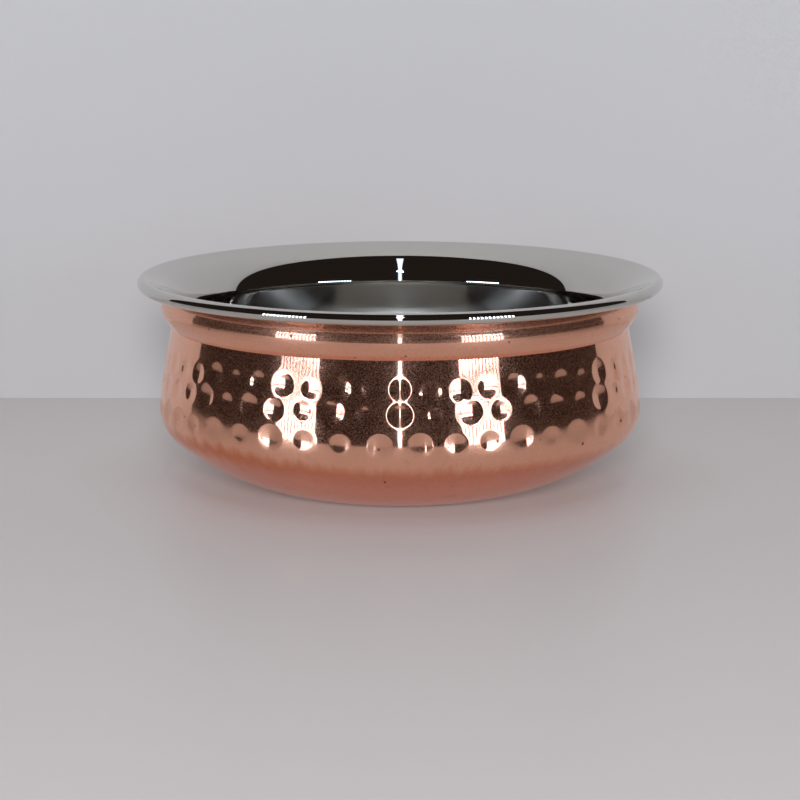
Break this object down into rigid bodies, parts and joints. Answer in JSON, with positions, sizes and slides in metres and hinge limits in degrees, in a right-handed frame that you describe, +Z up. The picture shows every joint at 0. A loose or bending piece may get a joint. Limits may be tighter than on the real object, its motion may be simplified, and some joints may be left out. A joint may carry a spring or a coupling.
{
  "type": "handi serving bowl",
  "caption": "Round-bellied serving bowl: a smooth steel bowl with a wide flared rim, nested in a hammered copper jacket, open on top and flat underneath.",
  "frame": {"origin": "centre of the flat resting face under the bowl", "axes": "+Z up along the axis that the bowl is turned about, -Y towards the front"},
  "size_m": [0.15, 0.15, 0.06],
  "materials": {
    "polished_steel": "mirror polished stainless steel",
    "polished_copper": "polished and hammered copper"
  },
  "bodies": {
    "root": {"steel_bowl": "polished_steel", "copper_jacket": "polished_copper"}
  },
  "joints": []
}
